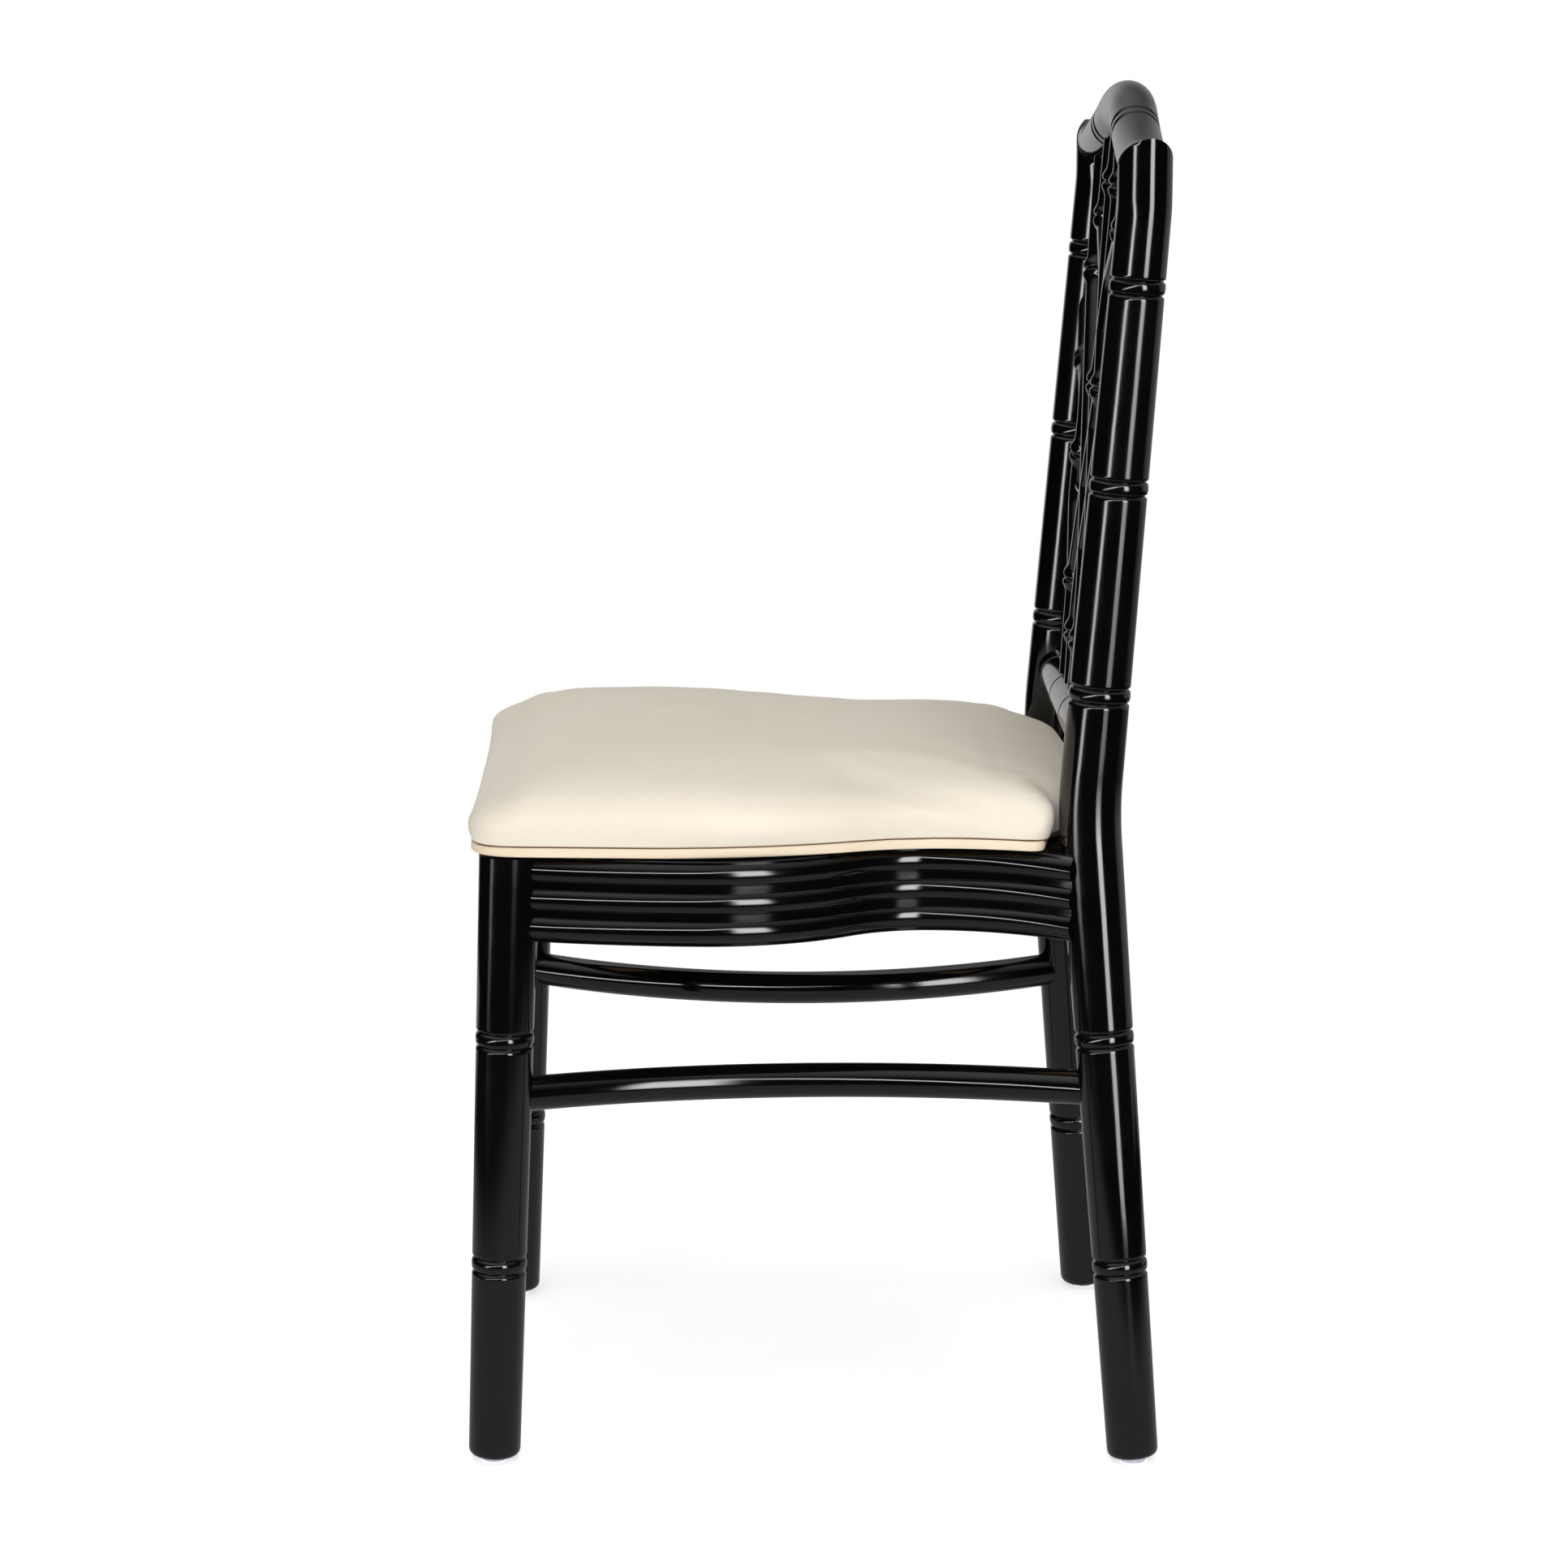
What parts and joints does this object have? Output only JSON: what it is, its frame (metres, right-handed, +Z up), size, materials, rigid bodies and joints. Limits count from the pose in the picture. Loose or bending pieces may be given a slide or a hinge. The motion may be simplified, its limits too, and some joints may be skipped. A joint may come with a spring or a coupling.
{
  "type": "banquet chair",
  "caption": "Black lacquered banquet chair turned to look like bamboo, with a lattice back, reeded seat rails, bowed side stretchers and a loose ivory seat pad that lifts off",
  "frame": {"origin": "on the floor, in the middle of the chair's bounding box seen from above", "axes": "+Z up, the chair faces -Y, +X is the sitter's left"},
  "size_m": [0.4262, 0.4687, 0.917],
  "materials": {
    "black_lacquer": "gloss lacquer",
    "bare_wood": "raw",
    "steel": "satin",
    "tape_and_cloth": "matte",
    "ivory_cover": "soft satin",
    "foam": "matte",
    "glide": "satin"
  },
  "bodies": {
    "chair": {"front_leg_left": "black_lacquer", "front_leg_right": "black_lacquer", "rear_post_left": "black_lacquer", "rear_post_right": "black_lacquer", "crest_rail": "black_lacquer", "lower_back_rail": "black_lacquer", "arch_stick_left": "black_lacquer", "arch_stick_right": "black_lacquer", "eye_stick_left": "black_lacquer", "eye_stick_right": "black_lacquer", "long_stick_left": "black_lacquer", "long_stick_right": "black_lacquer", "side_stick_left": "black_lacquer", "side_stick_right": "black_lacquer", "front_rail": "black_lacquer", "side_rail_left": "black_lacquer", "side_rail_right": "black_lacquer", "rear_rail": "black_lacquer", "side_stretcher_left": "black_lacquer", "side_stretcher_right": "black_lacquer", "seat_panel": "black_lacquer", "corner_block_front_left": "bare_wood", "corner_block_front_right": "bare_wood", "corner_block_rear_left": "bare_wood", "corner_block_rear_right": "bare_wood", "rail_dowels": "bare_wood", "crest_dowels": "bare_wood", "block_screws": "steel", "panel_screws": "steel", "glide_nails": "steel", "loop_tapes": "tape_and_cloth", "glide_front_left": "glide", "glide_front_right": "glide", "glide_rear_left": "glide", "glide_rear_right": "glide"},
    "pad": {"pad_board": "bare_wood", "pad_foam": "foam", "pad_cover": "ivory_cover", "pad_base_cloth": "tape_and_cloth", "pad_hem": "ivory_cover", "pad_staples": "steel", "hook_tapes": "tape_and_cloth"}
  },
  "joints": [
    {"name": "pad_lift", "type": "slide", "parent": "chair", "child": "pad", "axis": [0, -0.342, 0.9397], "range_m": [0, 0.15]}
  ]
}
